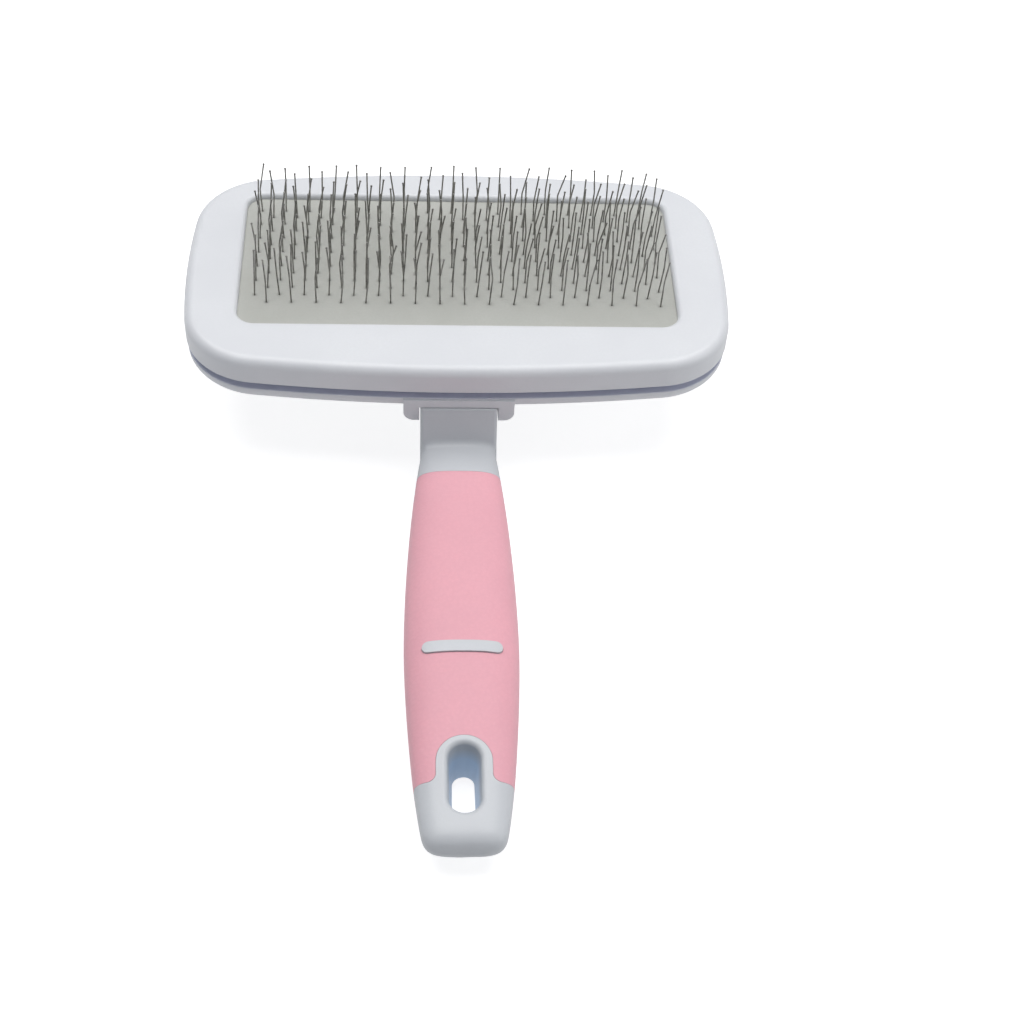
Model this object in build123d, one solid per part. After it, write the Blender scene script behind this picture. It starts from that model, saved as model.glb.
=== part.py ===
from build123d import *
import math
import os

# Slicker brush. Origin: centre of the head's flat back face.
# +X across the head, +Y from the handle to the head, +Z the way the pins point. Millimetres.

# Head outline: four shallow arcs with rounded corners
HEAD_HALF_WIDTH = 67.5
HEAD_HALF_DEPTH = 38.0
LONG_SIDE_RADIUS = 432.0
SHORT_SIDE_RADIUS = 187.0
CORNER_RADIUS = 19.0

# Front frame
FRAME_TOP = 16.5
FRAME_BOTTOM = 9.4
LIP_UNDERSIDE = 15.0
FRAME_WALL = 2.0
FRAME_FOLD_RADIUS = 2.4
FRAME_HEM_RADIUS = 0.35
OPENING_HALF_WIDTH = 53.95
OPENING_NEAR = -21.0
OPENING_FAR = 27.5
OPENING_CORNER = 4.5
OPENING_EDGE_RADIUS = 1.2

# Back shell
SHELL_LIP_TOP = 7.4
SHELL_LIP_LOW = 6.6
SHELL_LIP_INSET = 0.3
SHELL_LIP_RADIUS = 0.3
SHELL_DISH_RUN = 16.5
DISH_STEPS = 6
SPIGOT_INSET = 2.3
SPIGOT_WALL = 1.8
SPIGOT_TOP = 12.78
CAVITY_KNEE = 7.2
CAVITY_FLOOR = 2.0
CAVITY_RUN = 13.5

# Socket on the back shell that takes the handle's tang
SOCKET_HALF_WIDTH = 13.4
SOCKET_FRONT = -38.1
SOCKET_END = -6.0
SOCKET_BOTTOM = 0.4
SOCKET_SHOULDER = 6.9
SOCKET_BROW_END = -34.5
SOCKET_ROOF_TOP = 6.2
SOCKET_CORNER = 2.5
CHANNEL_HALF_WIDTH = 9.55
CHANNEL_END = -8.0
CHANNEL_ROOF = 4.65
RIB_HALF_THICKNESS = 0.6
CROSS_RIB_X = (-44.0, -30.0, 30.0, 44.0)
CROSS_RIB_REACH = 27.0
LONG_RIB_Y = (8.0, 20.0)
LONG_RIB_REACH = 50.0
RIB_FOOT = 1.0
RIB_GAP = 0.02

# Cushion stack, from the top down
PAD_TOP = 14.98
PAD_BOTTOM = 12.8
PAD_INSET = 2.4
CLOTH_TOP = 12.76
CLOTH_BOTTOM = 12.0
BED_HALF_WIDTH = 52.6
BED_NEAR = -19.4
BED_FAR = 26.0
BED_CORNER = 4.0
FOAM_TOP = 11.6
FOAM_BOTTOM = 8.3
PLATE_TOP = 8.25
PLATE_BOTTOM = 7.25
PLATE_INSET = 5.0

# Wire pins
PIN_ROWS = 14
PINS_PER_ROW = 17
PIN_PITCH = 6.07
ROW_PITCH = 2.7
FIRST_ROW_Y = -12.6
ROW_STAGGER = 1.5175
WIRE_RADIUS = 0.185
PIN_HOLE_RADIUS = 0.24
PIN_HEAD_RADIUS = 0.9
PIN_HEAD_TOP = 11.96
PIN_HEAD_BOTTOM = 11.65
PIN_STRAIGHT_TOP = 15.3
PIN_KNEE_Z = 22.2
PIN_TIP_Z = 30.1
PIN_BEND_RADIUS = 3.0
PIN_BEAD_RADIUS = 0.27
PIN_KNEE_X = (0.15, 0.5)
PIN_KNEE_Y = (0.35, 0.4)
PIN_TIP_X = (0.5, 0.95)
PIN_TIP_Y = (-0.8, 0.65)
PIN_KNEE_SCATTER = 1.1
PIN_TIP_SCATTER = 0.5

# Screws
NECK_SCREW_Y = (-31.0, -15.0)
NECK_SCREW_RADIUS = 1.2
NECK_SCREW_HEAD_RADIUS = 2.6
NECK_SCREW_HEAD = 0.95
NECK_SCREW_TIP = 1.2
PLATE_SCREW_X = 58.5
PLATE_SCREW_Y = 15.0
PLATE_SCREW_RADIUS = 0.95
PLATE_SCREW_HEAD_RADIUS = 1.9
PLATE_SCREW_HEAD = 0.9
PLATE_SCREW_TIP = 3.9
POST_RADIUS = 2.4
SCREW_GAP = 0.05
HOLE_GAP = 0.25

# Handle: (Y, half width, top Z, bottom Z, squareness of the section)
HANDLE_STATIONS = (
    (-41.0, 9.1, -3.7, -9.6, 3.6),
    (-46.0, 9.5, -3.6, -12.1, 3.3),
    (-52.0, 10.3, -3.4, -13.6, 3.0),
    (-62.0, 11.3, -2.9, -15.0, 2.8),
    (-75.0, 12.2, -2.2, -16.3, 2.7),
    (-88.0, 12.75, -1.8, -17.0, 2.7),
    (-102.0, 12.9, -1.8, -16.9, 2.7),
    (-116.0, 12.35, -2.2, -16.1, 2.7),
    (-130.0, 11.35, -3.0, -14.8, 2.8),
    (-140.0, 10.35, -3.7, -13.7, 2.9),
    (-148.0, 9.2, -4.3, -12.8, 2.9),
)
HANDLE_SPACING = 5.2
SECTION_POINTS = 16
NOSE_LENGTH = 4.9
NOSE_SIDE_ROUND = 5.0
NOSE_TOP_ROUND = 3.9
NOSE_STEPS = 3
SLEEVE_START = -51.3
SLEEVE_END = -138.3
SLEEVE_DEPTH = 1.6
SLEEVE_THICKNESS = 1.55
SLEEVE_GAP = 0.06
SLEEVE_CORNER = 1.8
REGION_HALF_WIDTH = 20.0
REGION_LOW = -30.0
REGION_HIGH = 10.0
ARCH_RADIUS = 5.95
ARCH_CENTRE_Y = -133.5
BAR_Y = -105.0
BAR_HALF_LENGTH = 8.9
BAR_HALF_WIDTH = 1.45
BAR_PROUD = 0.45
BAR_GAP = 0.06
BAR_ROOT_Z = -8.0
BAR_CROWN_Z = 4.0
BAR_FORM_REACH = 15.0

# Hanging slot, narrowing towards the underside
SLOT_CENTRE_Y = -137.4
SLOT_HALF_WIDTH_TOP = 3.55
SLOT_HALF_WIDTH_BOTTOM = 2.6
SLOT_STRAIGHT = 9.1
SLOT_RIM_RADIUS = 1.1

# Neck and tang
NECK_HALF_WIDTH = 9.3
NECK_FRONT = -38.65
NECK_TOP = 4.5
PANEL_FOOT_Y = -43.1
PANEL_FOOT_Z = -5.6
TANG_END = -8.3
TANG_BOTTOM = 0.3
NECK_THROAT = ((-29.0, 0.3), (-37.2, -7.0), (-44.6, -11.3))
NECK_ROOT = (-47.5, -9.0)
NECK_EDGE_RADIUS = 0.9
NECK_UNDER_RADIUS = 2.5
NECK_BROW_RADIUS = 0.45
NECK_FOOT_RADIUS = 2.0


def head_outline(inset):
    """Closed head outline, moved in by inset."""
    long_radius = LONG_SIDE_RADIUS - inset
    short_radius = SHORT_SIDE_RADIUS - inset
    long_centre = HEAD_HALF_DEPTH - LONG_SIDE_RADIUS
    short_centre = HEAD_HALF_WIDTH - SHORT_SIDE_RADIUS
    gap = math.hypot(long_centre, short_centre)
    along = (short_radius ** 2 - long_radius ** 2 + gap ** 2) / (2 * gap)
    off = math.sqrt(short_radius ** 2 - along ** 2)
    ux = -short_centre / gap
    uy = long_centre / gap
    x = short_centre + along * ux - off * uy
    y = along * uy + off * ux
    width = HEAD_HALF_WIDTH - inset
    depth = HEAD_HALF_DEPTH - inset
    sides = [
        ThreePointArc((x, y), (0, depth), (-x, y)),
        ThreePointArc((-x, y), (-width, 0), (-x, -y)),
        ThreePointArc((-x, -y), (0, -depth), (x, -y)),
        ThreePointArc((x, -y), (width, 0), (x, y)),
    ]
    face = make_face(sides)
    return fillet(face.vertices(), CORNER_RADIUS - inset)


def rounded_block(half_width, near, far, corner, bottom, top):
    """Upright block with rounded corners."""
    plan = RectangleRounded(2 * half_width, far - near, corner)
    plan = Pos(0, (near + far) / 2, bottom) * plan
    return extrude(plan, top - bottom)


def slab(inset, bottom, top):
    """Upright slab with the head's outline."""
    return extrude(Pos(0, 0, bottom) * head_outline(inset), top - bottom)


def box_between(x0, x1, y0, y1, z0, z1):
    """Axis-aligned box from its limits."""
    block = Box(x1 - x0, y1 - y0, z1 - z0)
    return Pos((x0 + x1) / 2, (y0 + y1) / 2, (z0 + z1) / 2) * block


def rod(x, y, bottom, top, radius):
    """Upright cylinder."""
    return Pos(x, y, (bottom + top) / 2) * Cylinder(radius, top - bottom)


def pin_places(row):
    """Where the pins of one row stand."""
    side = 1 if row % 2 == 0 else -1
    y = FIRST_ROW_Y + row * ROW_PITCH
    first = -PIN_PITCH * (PINS_PER_ROW - 1) / 2 + side * ROW_STAGGER
    return [(first + column * PIN_PITCH, y) for column in range(PINS_PER_ROW)]


def wobble(row, column, seed):
    """Repeatable scatter between -1 and 1, the uneven set of the wires."""
    value = math.sin(12.9898 * (row + 1) + 78.233 * (column + 1) + 37.719 * seed) * 43758.5453
    return 2 * (value - math.floor(value)) - 1


def front_frame():
    """Bezel with a lip that holds the cushion's edge down."""
    body = slab(0, FRAME_BOTTOM, FRAME_TOP)
    rim = body.faces().sort_by(Axis.Z)[-1].edges()
    body = fillet(rim, FRAME_FOLD_RADIUS)
    body -= slab(FRAME_WALL, FRAME_BOTTOM - 1, LIP_UNDERSIDE)
    body -= rounded_block(OPENING_HALF_WIDTH, OPENING_NEAR, OPENING_FAR, OPENING_CORNER,
                          FRAME_BOTTOM, FRAME_TOP + 1)
    inner = body.faces().sort_by(Axis.Z)[-1].inner_wires()[0].edges()
    body = fillet(inner, OPENING_EDGE_RADIUS)
    hem = body.faces().sort_by(Axis.Z)[0].outer_wire().edges()
    return fillet(hem, FRAME_HEM_RADIUS)


def dish(inset, run, top, bottom):
    """Shallow bowl: the outline draws in by run as it drops from top to bottom."""
    sections = []
    for step in range(DISH_STEPS + 1):
        angle = math.pi / 2 * step / DISH_STEPS
        drawn_in = inset + run * (1 - math.cos(angle))
        level = top - (top - bottom) * math.sin(angle)
        sections.append(Pos(0, 0, level) * head_outline(drawn_in))
    return loft(sections)


def shell_outside():
    """Outer form of the back shell: upright lip over a bowl with a flat back."""
    lip = slab(SHELL_LIP_INSET, SHELL_LIP_LOW, SHELL_LIP_TOP)
    lip = fillet(lip.faces().sort_by(Axis.Z)[-1].edges(), SHELL_LIP_RADIUS)
    return lip + dish(SHELL_LIP_INSET, SHELL_DISH_RUN, SHELL_LIP_LOW, 0)


def shell_cavity():
    """Hollow of the back shell."""
    inset = SPIGOT_INSET + SPIGOT_WALL
    upper = slab(inset, CAVITY_KNEE, SPIGOT_TOP + 1)
    return upper + dish(inset, CAVITY_RUN, CAVITY_KNEE, CAVITY_FLOOR)


def shell_ribs():
    """Ribs and screw posts under the support plate."""
    top = PLATE_BOTTOM - RIB_GAP
    ribs = Part()
    for x in CROSS_RIB_X:
        ribs += box_between(x - RIB_HALF_THICKNESS, x + RIB_HALF_THICKNESS,
                            -CROSS_RIB_REACH, CROSS_RIB_REACH, RIB_FOOT, top)
    for y in LONG_RIB_Y:
        ribs += box_between(-LONG_RIB_REACH, LONG_RIB_REACH,
                            y - RIB_HALF_THICKNESS, y + RIB_HALF_THICKNESS, RIB_FOOT, top)
    for x, y in plate_screw_places():
        ribs += rod(x, y, RIB_FOOT, top, POST_RADIUS)
    return ribs


def handle_socket():
    """Block on the back shell that the handle's tang slides into, still solid."""
    socket = box_between(-SOCKET_HALF_WIDTH, SOCKET_HALF_WIDTH, SOCKET_FRONT, SOCKET_END,
                         SOCKET_BOTTOM, SOCKET_ROOF_TOP)
    corners = socket.edges().filter_by(Axis.Y).group_by(Axis.Z)[0]
    brow = box_between(-SOCKET_HALF_WIDTH, SOCKET_HALF_WIDTH, SOCKET_FRONT, SOCKET_BROW_END,
                       CHANNEL_ROOF, SOCKET_SHOULDER)
    return fillet(corners, SOCKET_CORNER) + brow


def plate_screw_places():
    """Where the four screws of the support plate stand."""
    return [(sx * PLATE_SCREW_X, sy * PLATE_SCREW_Y) for sx in (-1, 1) for sy in (-1, 1)]


def back_shell():
    """Back half of the head, with the spigot, the handle socket, posts and ribs."""
    outside = shell_outside()
    shell = outside + slab(SPIGOT_INSET, SHELL_LIP_TOP - 0.5, SPIGOT_TOP)
    shell -= shell_cavity()
    shell += shell_ribs() & outside
    shell += handle_socket()
    shell -= box_between(-CHANNEL_HALF_WIDTH, CHANNEL_HALF_WIDTH, SOCKET_FRONT - 2, CHANNEL_END,
                         -2, CHANNEL_ROOF)
    for y in NECK_SCREW_Y:
        shell -= rod(0, y, CHANNEL_ROOF - 1, SOCKET_SHOULDER + 1, NECK_SCREW_RADIUS + HOLE_GAP)
    for x, y in plate_screw_places():
        shell -= rod(x, y, PLATE_SCREW_TIP - 0.3, PLATE_BOTTOM + 1, PLATE_SCREW_RADIUS + SCREW_GAP)
    return shell


def pin_holes(bottom, top):
    """One hole for every pin."""
    holes = []
    for row in range(PIN_ROWS):
        for x, y in pin_places(row):
            holes.append(rod(x, y, bottom, top, PIN_HOLE_RADIUS))
    return holes


def cushion_pad():
    """Rubber face; its edge is held between the frame's lip and the shell's spigot."""
    return slab(PAD_INSET, PAD_BOTTOM, PAD_TOP) - pin_holes(PAD_BOTTOM - 1, PAD_TOP + 1)


def backing_cloth():
    """Woven ply under the rubber, which the pin heads pull against."""
    ply = rounded_block(BED_HALF_WIDTH, BED_NEAR, BED_FAR, BED_CORNER, CLOTH_BOTTOM, CLOTH_TOP)
    return ply - pin_holes(CLOTH_BOTTOM - 1, CLOTH_TOP + 1)


def foam_bed():
    """Springy foam between the pin heads and the support plate."""
    return rounded_block(BED_HALF_WIDTH, BED_NEAR, BED_FAR, BED_CORNER, FOAM_BOTTOM, FOAM_TOP)


def support_plate():
    """Stiff floor under the foam, screwed to the back shell."""
    plate = slab(PLATE_INSET, PLATE_BOTTOM, PLATE_TOP)
    for x, y in plate_screw_places():
        plate -= rod(x, y, PLATE_BOTTOM - 1, PLATE_TOP + 1, PLATE_SCREW_RADIUS + HOLE_GAP)
    return plate


def pan_screw(x, y, seat, radius, head_radius, head, tip):
    """Pan-head screw, point down, with a cross recess."""
    screw = rod(x, y, tip + radius, seat, radius)
    screw += Pos(x, y, tip + radius / 2) * Cone(0.2, radius, radius)
    cap = rod(x, y, seat, seat + head, head_radius)
    cap = fillet(cap.edges().group_by(Axis.Z)[-1], head * 0.45)
    recess = head * 0.6
    slot = Pos(x, y, seat + head - recess / 2)
    cap -= slot * Box(head_radius * 1.1, head_radius * 0.28, recess)
    cap -= slot * Box(head_radius * 0.28, head_radius * 1.1, recess)
    return screw + cap


def neck_screws():
    """Two screws that hold the handle's tang in the socket."""
    return [pan_screw(0, y, SOCKET_ROOF_TOP + 0.02, NECK_SCREW_RADIUS, NECK_SCREW_HEAD_RADIUS,
                      NECK_SCREW_HEAD, NECK_SCREW_TIP) for y in NECK_SCREW_Y]


def plate_screws():
    """Four screws that hold the support plate."""
    return [pan_screw(x, y, PLATE_TOP + 0.02, PLATE_SCREW_RADIUS, PLATE_SCREW_HEAD_RADIUS,
                      PLATE_SCREW_HEAD, PLATE_SCREW_TIP) for x, y in plate_screw_places()]


def scattered(mean_and_spread, row, column, seed):
    """A mean with its repeatable scatter."""
    mean, spread = mean_and_spread
    return mean + spread * wobble(row, column, seed)


def wire_pin(x, y, row, column):
    """One headed wire pin: upright in the cushion, a knee half way up, a small bead on the tip."""
    knee_x = x + scattered(PIN_KNEE_X, row, column, 1)
    knee_y = y + scattered(PIN_KNEE_Y, row, column, 2)
    knee_z = scattered((PIN_KNEE_Z, PIN_KNEE_SCATTER), row, column, 5)
    tip_x = x + scattered(PIN_TIP_X, row, column, 3)
    tip_y = y + scattered(PIN_TIP_Y, row, column, 4)
    tip_z = scattered((PIN_TIP_Z, PIN_TIP_SCATTER), row, column, 6)
    foot_z = (PIN_HEAD_BOTTOM + PIN_HEAD_TOP) / 2
    path = FilletPolyline((x, y, foot_z), (x, y, PIN_STRAIGHT_TOP), (knee_x, knee_y, knee_z),
                          (tip_x, tip_y, tip_z), radius=PIN_BEND_RADIUS)
    wire = sweep(Pos(x, y, foot_z) * Circle(WIRE_RADIUS), path)
    wire += rod(x, y, PIN_HEAD_BOTTOM, PIN_HEAD_TOP, PIN_HEAD_RADIUS)
    return wire + Pos(tip_x, tip_y, tip_z) * Sphere(PIN_BEAD_RADIUS)


def pin_row(row):
    """One row of separate pins."""
    return [wire_pin(x, y, row, column) for column, (x, y) in enumerate(pin_places(row))]


def handle_station(y):
    """Handle values at y, a smooth curve through the stations."""
    last = len(HANDLE_STATIONS) - 1
    index = 0
    while index < last - 1 and HANDLE_STATIONS[index + 1][0] > y:
        index += 1
    before = HANDLE_STATIONS[max(index - 1, 0)]
    left = HANDLE_STATIONS[index]
    right = HANDLE_STATIONS[index + 1]
    after = HANDLE_STATIONS[min(index + 2, last)]
    span = right[0] - left[0]
    t = (y - left[0]) / span
    values = [y]
    for k in range(1, 5):
        slope_left = span * (right[k] - before[k]) / (right[0] - before[0])
        slope_right = span * (after[k] - left[k]) / (after[0] - left[0])
        value = left[k] + slope_left * t
        value += (3 * (right[k] - left[k]) - 2 * slope_left - slope_right) * t ** 2
        value += (2 * (left[k] - right[k]) + slope_left + slope_right) * t ** 3
        values.append(value)
    return values


def handle_section(station, grow):
    """Rounded cross-section of the handle, grown by grow on every side."""
    y, half_width, top, bottom, square = station
    a = half_width + grow
    b = (top - bottom) / 2 + grow
    middle = (top + bottom) / 2
    points = []
    for step in range(SECTION_POINTS):
        angle = 2 * math.pi * step / SECTION_POINTS - math.pi / 2
        c = math.cos(angle)
        s = math.sin(angle)
        x = a * math.copysign(abs(c) ** (2 / square), c)
        z = b * math.copysign(abs(s) ** (2 / square), s)
        points.append((x, y, middle + z))
    return make_face(Spline(*points, periodic=True))


def handle_form(grow, start, end):
    """Length of handle between two values of Y."""
    count = max(2, round((start - end) / HANDLE_SPACING))
    places = [start + (end - start) * step / count for step in range(count + 1)]
    return loft([handle_section(handle_station(y), grow) for y in places])


def handle_body():
    """Whole handle, with its end rounded over."""
    start = HANDLE_STATIONS[0][0]
    end = HANDLE_STATIONS[-1][0]
    count = round((start - end) / HANDLE_SPACING)
    places = [start + (end - start) * step / count for step in range(count + 1)]
    stations = [handle_station(y) for y in places]
    y, half_width, top, bottom, square = stations[-1]
    for step in range(1, NOSE_STEPS + 1):
        angle = math.pi / 2 * step / NOSE_STEPS
        drawn_in = 1 - math.cos(angle)
        stations.append((y - NOSE_LENGTH * math.sin(angle), half_width - NOSE_SIDE_ROUND * drawn_in,
                         top - NOSE_TOP_ROUND * drawn_in, bottom + NOSE_TOP_ROUND * drawn_in, square))
    return loft([handle_section(station, 0) for station in stations])


def sleeve_region(gap):
    """Upright prism that covers the gripped stretch, with the arch round the slot left out."""
    start = SLEEVE_START + gap
    end = SLEEVE_END - gap
    radius = ARCH_RADIUS - gap
    region = box_between(-REGION_HALF_WIDTH, REGION_HALF_WIDTH, end, start, REGION_LOW, REGION_HIGH)
    region -= rod(0, ARCH_CENTRE_Y, REGION_LOW - 1, REGION_HIGH + 1, radius)
    region -= box_between(-radius, radius, end - 1, ARCH_CENTRE_Y, REGION_LOW - 1, REGION_HIGH + 1)
    corners = [edge for edge in region.edges().filter_by(Axis.Z)
               if abs(edge.center().Y - end) < 0.01 and abs(edge.center().X) < ARCH_RADIUS + 1]
    return fillet(corners, SLEEVE_CORNER)


def bar_prism(gap):
    """Upright prism with the raised bar's plan."""
    length = 2 * (BAR_HALF_LENGTH + gap)
    width = 2 * (BAR_HALF_WIDTH + gap)
    plan = Pos(0, BAR_Y, BAR_ROOT_Z) * SlotOverall(length, width)
    return extrude(plan, BAR_CROWN_Z - BAR_ROOT_Z)


def hanging_slot():
    """Tapered slot through the handle's end."""
    depth = 14.0
    top = 1.0
    run = (SLOT_HALF_WIDTH_TOP - SLOT_HALF_WIDTH_BOTTOM) / 9.0
    half = SLOT_HALF_WIDTH_TOP + run * 4.5
    plan = SlotOverall(SLOT_STRAIGHT + 2 * half, 2 * half)
    plan = Pos(0, SLOT_CENTRE_Y, top) * Rot(0, 0, 90) * plan
    taper = math.degrees(math.atan(run))
    return extrude(plan, depth + 4, dir=(0, 0, -1), taper=taper)


def edges_near(body, x, y, z):
    """Edges whose middle lies in the given ranges of |X|, Y and Z."""
    chosen = []
    for edge in body.edges():
        middle = edge.center()
        inside = x[0] < abs(middle.X) < x[1] and y[0] < middle.Y < y[1] and z[0] < middle.Z < z[1]
        if inside:
            chosen.append(edge)
    return chosen


def neck_block():
    """Sloped neck and the tang that fills the socket."""
    throat = [(0, y, z) for y, z in NECK_THROAT]
    lines = [
        Polyline((0, PANEL_FOOT_Y, PANEL_FOOT_Z), (0, NECK_FRONT, NECK_TOP), (0, TANG_END, NECK_TOP),
                 (0, TANG_END, TANG_BOTTOM), throat[0]),
        ThreePointArc(*throat),
        Polyline(throat[2], (0, *NECK_ROOT), (0, PANEL_FOOT_Y, PANEL_FOOT_Z)),
    ]
    block = extrude(make_face(lines), NECK_HALF_WIDTH, both=True)
    flank = (NECK_HALF_WIDTH - 0.01, NECK_HALF_WIDTH + 0.01)
    block = fillet(edges_near(block, flank, (-43, -30), (-8, -4)), NECK_UNDER_RADIUS)
    panel_z = (NECK_TOP + PANEL_FOOT_Z) / 2
    block = fillet(edges_near(block, flank, (-42, -40), (panel_z - 0.2, panel_z + 0.2)), NECK_EDGE_RADIUS)
    brow_y = (NECK_FRONT - 0.05, NECK_FRONT + 0.05)
    block = fillet(edges_near(block, (-1, 9), brow_y, (NECK_TOP - 0.05, NECK_TOP + 0.05)),
                   NECK_BROW_RADIUS)
    for y in NECK_SCREW_Y:
        block -= rod(0, y, NECK_SCREW_TIP - 0.3, NECK_TOP + 1, NECK_SCREW_RADIUS + SCREW_GAP)
    return block


def handle_core(master, recessed):
    """White moulding: tang, neck, spine under the grip, raised bar and slotted end."""
    neck = master + neck_block()
    foot = edges_near(neck, (-1, NECK_HALF_WIDTH - 0.3), (-44.5, -41.5), (-5.0, -3.0))
    neck = fillet(foot, NECK_FOOT_RADIUS)
    core = neck - (sleeve_region(0) - recessed)
    core += bar_prism(0) & handle_form(BAR_PROUD, BAR_Y + BAR_FORM_REACH, BAR_Y - BAR_FORM_REACH)
    core -= hanging_slot()
    rim_y = (SLOT_CENTRE_Y - SLOT_STRAIGHT, SLOT_CENTRE_Y + SLOT_STRAIGHT)
    rim = edges_near(core, (-1, SLOT_HALF_WIDTH_TOP + 0.6), rim_y, (-5.2, 0))
    return fillet(rim, SLOT_RIM_RADIUS)


def grip_sleeve(master):
    """Soft overmoulded grip."""
    inner = handle_form(-SLEEVE_THICKNESS, SLEEVE_START + 6, SLEEVE_END - 6)
    sleeve = (master & sleeve_region(-SLEEVE_GAP)) - inner
    return sleeve - bar_prism(BAR_GAP)


def save(name, shape):
    """One STEP file per node."""
    if isinstance(shape, list):
        shape = Compound(children=shape)
    export_step(shape, os.path.join("parts", name + ".step"))


def main():
    os.makedirs("parts", exist_ok=True)
    save("front_frame", front_frame())
    save("back_shell", back_shell())
    save("cushion_pad", cushion_pad())
    save("backing_cloth", backing_cloth())
    save("foam_bed", foam_bed())
    save("support_plate", support_plate())
    save("neck_screws", neck_screws())
    save("plate_screws", plate_screws())
    for row in range(PIN_ROWS):
        save("pin_row_%02d" % (row + 1), pin_row(row))
    master = handle_body()
    recessed = handle_form(-SLEEVE_DEPTH, SLEEVE_START + 6, SLEEVE_END - 6)
    save("handle_core", handle_core(master, recessed))
    save("grip_sleeve", grip_sleeve(master))


main()
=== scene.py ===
import math

import bmesh
import bpy
from bpy.props import FloatProperty, FloatVectorProperty, IntProperty, PointerProperty
from mathutils import Matrix, Vector, kdtree, noise


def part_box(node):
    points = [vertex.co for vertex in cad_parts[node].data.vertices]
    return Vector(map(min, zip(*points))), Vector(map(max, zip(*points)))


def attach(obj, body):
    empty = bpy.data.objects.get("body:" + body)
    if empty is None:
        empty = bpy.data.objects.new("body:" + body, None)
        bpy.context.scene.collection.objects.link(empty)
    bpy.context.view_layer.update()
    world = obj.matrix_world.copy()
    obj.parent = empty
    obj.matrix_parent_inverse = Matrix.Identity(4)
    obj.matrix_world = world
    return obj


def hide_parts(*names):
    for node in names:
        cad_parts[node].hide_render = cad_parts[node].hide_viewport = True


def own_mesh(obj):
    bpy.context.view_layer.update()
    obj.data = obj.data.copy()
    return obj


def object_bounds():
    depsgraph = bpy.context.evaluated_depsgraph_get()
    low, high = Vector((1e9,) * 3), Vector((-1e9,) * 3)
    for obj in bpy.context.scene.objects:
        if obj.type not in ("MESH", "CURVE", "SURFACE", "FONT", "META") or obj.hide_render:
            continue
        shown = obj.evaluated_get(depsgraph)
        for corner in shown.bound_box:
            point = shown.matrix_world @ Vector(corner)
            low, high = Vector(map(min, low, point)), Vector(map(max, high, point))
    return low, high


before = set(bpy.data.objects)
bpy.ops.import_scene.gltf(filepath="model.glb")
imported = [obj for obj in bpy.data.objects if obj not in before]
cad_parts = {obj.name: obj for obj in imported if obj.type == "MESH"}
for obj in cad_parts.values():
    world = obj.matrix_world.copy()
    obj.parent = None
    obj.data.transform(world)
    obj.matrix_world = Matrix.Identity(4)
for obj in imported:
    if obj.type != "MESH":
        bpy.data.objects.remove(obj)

bl_info = {
    "name": "Slicker Brush",
    "version": (1, 0, 0),
    "blender": (4, 5, 0),
    "location": "View3D > Sidebar > Slicker Brush",
    "description": "Finishes a pet slicker brush: mouldings, rubber cushion, wires, grip and a studio",
    "category": "Object",
}

CAD_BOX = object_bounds()
MM = 0.001
TINY = 1e-12
SHARE_SLACK = 1e-6

# Names of the carried-over CAD parts.
FRAME = "front_frame"
SHELL = "back_shell"
HANDLE = "handle_core"
GRIP = "grip_sleeve"
PLATE = "support_plate"
SCREWS = ("neck_screws", "plate_screws")
PIN_ROWS = sorted(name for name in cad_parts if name.startswith("pin_row_"))

# The groove between frame and shell, how softly the painted bluish shade in it starts and ends, and the
# colour of that painted shade as a share of the white.
LIP_TOP = 7.4 * MM
HEM = 9.4 * MM
LIP_FADE = 0.25 * MM
HEM_FADE = (-0.02 * MM, 0.04 * MM)
GROOVE_PAINTED_SHADE = (0.92, 0.93, 1.06)

# The hanging slot, where the painted bluish light on its inside starts and ends, and the colour of that
# painted light as a share of the grey.
SLOT_Y = -137.4 * MM
SLOT_STRAIGHT = 9.1 * MM
SLOT_RADIUS = 3.6 * MM
SLOT_FADE = 0.9 * MM
THROAT_FULL_Z = -8.5 * MM
THROAT_START_Z = -5.2 * MM
THROAT_PAINTED_LIGHT = (1.05, 1.23, 1.42)

# The window in the front frame, through which the rubber face is seen.
WINDOW_HALF_WIDTH = 53.95 * MM
WINDOW_LOW_Y = -21.0 * MM
WINDOW_HIGH_Y = 27.5 * MM
WINDOW_CORNER = 4.5 * MM
WINDOW_COVER = 1.6 * MM
EDGE_CALM = 2 * MM

# Finding the wires in the CAD rows, and the slabs that they pass through.
HEAD_SLICE = 0.1 * MM
WIRE_SPACING_LEAST = 1.5 * MM
TOP_SLICE = 0.01 * MM
WELD = 0.001 * MM
HULL_PEAK = 10 * MM
# Radius of the painted shade round each wire on the rubber face.
SHADE_RING_RADIUS = 0.42 * MM
HIDDEN_SLAB_EDGE = Vector((0.5 * MM, 0.5 * MM))
HIDDEN_SLAB_CELLS = (8, 4)
HOLE_SIDES = 8
SHARP_ANGLE = math.radians(50)
RUBBER_SWELL = 75
PLY_HOLE_RADIUS = 0.24 * MM
PLY_SETBACK = 0.02 * MM
FOAM_DENT = 0.12 * MM
FOAM_DENT_RADIUS = 1.1 * MM
FOAM_UNEVENNESS = 0.03 * MM
FOAM_SWELL = 400

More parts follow.
